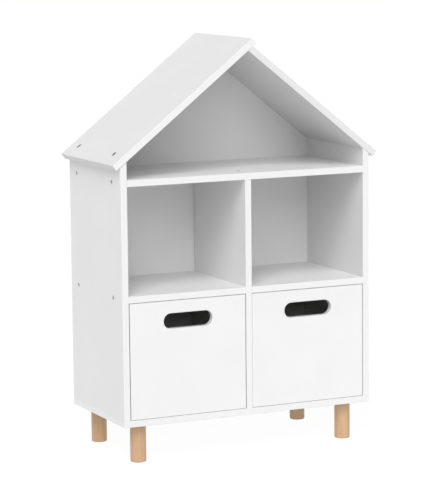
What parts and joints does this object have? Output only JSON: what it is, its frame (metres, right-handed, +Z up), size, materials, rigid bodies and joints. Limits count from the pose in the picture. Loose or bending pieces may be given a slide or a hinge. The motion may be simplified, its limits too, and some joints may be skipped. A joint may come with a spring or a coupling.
{
  "type": "house shaped bookcase",
  "caption": "House shaped children's bookcase: an attic under a pitched roof, open compartments, pull-out bins with finger slots, and round wooden legs.",
  "frame": {"origin": "on the floor, under the middle of the overall box", "axes": "+X to the right seen from the front, +Y from the front to the back, +Z up"},
  "size_m": [0.6579, 0.306, 0.9441],
  "materials": {
    "white_board": "white laminated board, satin",
    "white_bin_front": "white laminated board, satin",
    "white_hardboard": "thin white faced hardboard, satin",
    "beech_leg": "clear lacquered beech, satin",
    "dowel_wood": "raw beech",
    "zinc_steel": "zinc plated"
  },
  "bodies": {
    "cabinet": {"left_side_panel": "white_board", "right_side_panel": "white_board", "bottom_panel": "white_board", "centre_divider": "white_board", "left_shelf": "white_board", "right_shelf": "white_board", "top_shelf": "white_board", "back_panel": "white_hardboard", "left_roof_panel": "white_board", "right_roof_panel": "white_board", "front_left_leg": "beech_leg", "front_right_leg": "beech_leg", "rear_left_leg": "beech_leg", "rear_right_leg": "beech_leg", "leg_bolts": "zinc_steel", "leg_insert_nuts": "zinc_steel", "side_screws": "zinc_steel", "roof_screws": "zinc_steel", "top_shelf_screw": "zinc_steel", "bottom_screws": "zinc_steel", "shelf_dowels": "dowel_wood", "top_shelf_dowel": "dowel_wood", "ridge_dowels": "dowel_wood", "back_panel_nails": "zinc_steel"},
    "left_bin": {"left_bin_front": "white_bin_front", "left_bin_left_side": "white_board", "left_bin_right_side": "white_board", "left_bin_back": "white_board", "left_bin_bottom": "white_hardboard", "left_bin_dowels": "dowel_wood", "left_bin_screws": "zinc_steel", "left_bin_nails": "zinc_steel"},
    "right_bin": {"right_bin_front": "white_bin_front", "right_bin_left_side": "white_board", "right_bin_right_side": "white_board", "right_bin_back": "white_board", "right_bin_bottom": "white_hardboard", "right_bin_dowels": "dowel_wood", "right_bin_screws": "zinc_steel", "right_bin_nails": "zinc_steel"}
  },
  "joints": [
    {"name": "left_bin_slide", "type": "slide", "parent": "cabinet", "child": "left_bin", "axis": [0, -1, 0], "range_m": [0, 0.2]},
    {"name": "right_bin_slide", "type": "slide", "parent": "cabinet", "child": "right_bin", "axis": [0, -1, 0], "range_m": [0, 0.2]}
  ]
}
